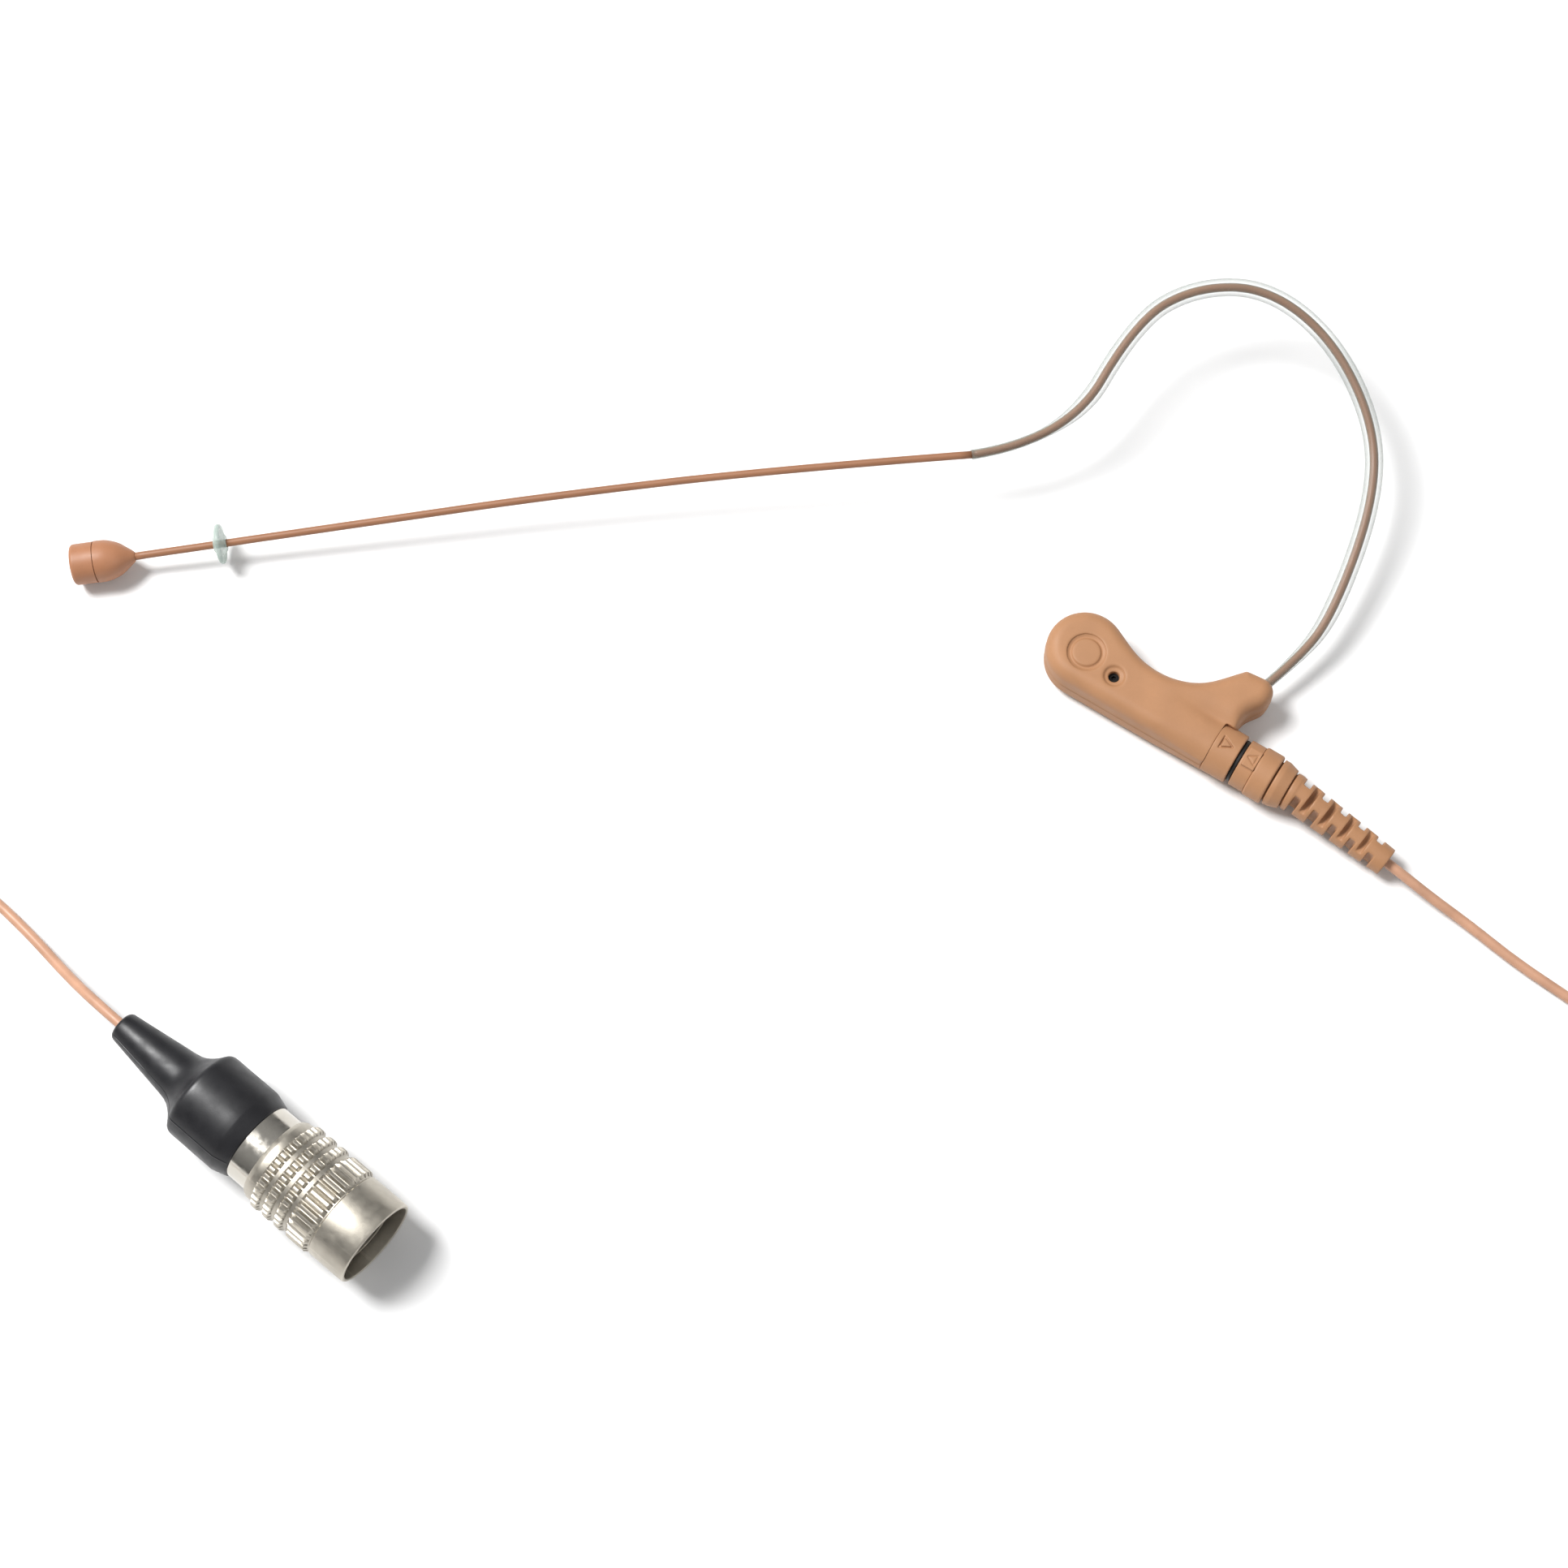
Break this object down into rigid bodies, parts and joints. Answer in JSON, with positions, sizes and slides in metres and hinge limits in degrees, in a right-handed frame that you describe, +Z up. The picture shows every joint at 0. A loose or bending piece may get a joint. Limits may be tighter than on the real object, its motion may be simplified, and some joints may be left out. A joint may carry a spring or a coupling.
{
  "type": "headset microphone",
  "caption": "Ear-worn headset microphone: ear piece with sprung hook, thin boom, tiny capsule with a moisture ring, and a plug-in cable with a locking round connector.",
  "frame": {"origin": "on the ear piece's flat resting face, in the middle of its round end", "axes": "+Z up from the surface that the set lies on, +X from the capsule along the boom to the ear hook, +Y from the ear piece towards the top of the hook"},
  "size_m": [0.2321, 0.1669, 0.014],
  "materials": {
    "ear_plastic": "soft-touch moulded plastic, tan beige",
    "relief_rubber": "soft elastomer, tan beige",
    "steel_small": "small bright steel parts",
    "board": "printed circuit board",
    "chip": "moulded electronic components",
    "lead_wire": "insulated fine wire",
    "socket_metal": "turned metal",
    "insulator_black": "moulded insulator",
    "gold_contact": "gold-plated contacts",
    "tube_coating": "thin steel tube with a matt beige coating",
    "clear_sleeve": "clear soft silicone",
    "clear_ring": "milky clear silicone",
    "capsule_coating": "metal with a matt beige coating",
    "capsule_metal": "metal can of the microphone element",
    "cloth": "fine acoustic cloth",
    "seal_black": "black sealing rubber",
    "cable_jacket": "thin pinkish beige cable jacket",
    "tie_black": "hook and loop strap",
    "boot_black": "moulded black rubber",
    "nickel_satin": "bead-blasted nickel plating",
    "nickel_polished": "polished nickel plating"
  },
  "bodies": {
    "headset": {"ear_shell_outer": "ear_plastic", "ear_shell_inner": "ear_plastic", "ear_cover_disc": "ear_plastic", "ear_shell_screws": "steel_small", "hook_crimp": "steel_small", "filter_board": "board", "filter_components": "chip", "ear_leads": "lead_wire", "socket_shell": "socket_metal", "socket_insulator": "insulator_black", "socket_contacts": "gold_contact", "socket_collar": "ear_plastic", "ear_hook_wire": "tube_coating", "hook_sleeve": "clear_sleeve", "boom_tube": "tube_coating", "capsule_housing": "capsule_coating", "mic_element": "capsule_metal", "element_gasket": "seal_black", "amplifier_board": "board", "capsule_leads": "lead_wire"},
    "front_cap": {"capsule_cap": "capsule_coating", "grille_cloth": "cloth"},
    "stop_ring": {"moisture_ring": "clear_ring"},
    "cable_set": {"plug_nose": "socket_metal", "plug_insulator": "insulator_black", "plug_pins": "gold_contact", "seal_ring": "seal_black", "plug_ring": "ear_plastic", "plug_grip": "ear_plastic", "plug_nut": "ear_plastic", "plug_crimp": "steel_small", "strain_relief": "relief_rubber", "cable_lead": "cable_jacket", "cable_coil": "cable_jacket", "cable_tie": "tie_black", "cable_run": "cable_jacket", "connector_boot": "boot_black", "cable_clamp": "steel_small", "clamp_nut": "steel_small", "rear_shell": "nickel_polished", "front_tube": "nickel_satin", "pin_insulator": "insulator_black", "socket_pins": "gold_contact", "connector_leads": "lead_wire", "coupling_spring": "steel_small"},
    "lock_sleeve": {"coupling_sleeve": "nickel_satin"}
  },
  "joints": [
    {"name": "cap_pull", "type": "slide", "parent": "headset", "child": "front_cap", "axis": [-0.9899, -0.1384, -0.0314], "range_m": [0, 0.004]},
    {"name": "ring_slide", "type": "slide", "parent": "headset", "child": "stop_ring", "axis": [0.9897, 0.1335, 0.0519], "range_m": [-0.006, 0.03]},
    {"name": "plug_pull", "type": "slide", "parent": "headset", "child": "cable_set", "axis": [0.848, -0.5299, 0], "range_m": [0, 0.007]},
    {"name": "sleeve_pull", "type": "slide", "parent": "cable_set", "child": "lock_sleeve", "axis": [-0.766, 0.6428, 0], "range_m": [0, 0.0022], "stiffness_N_per_m": 600, "springref_m": -0.001, "deforming": ["coupling_spring"]}
  ]
}
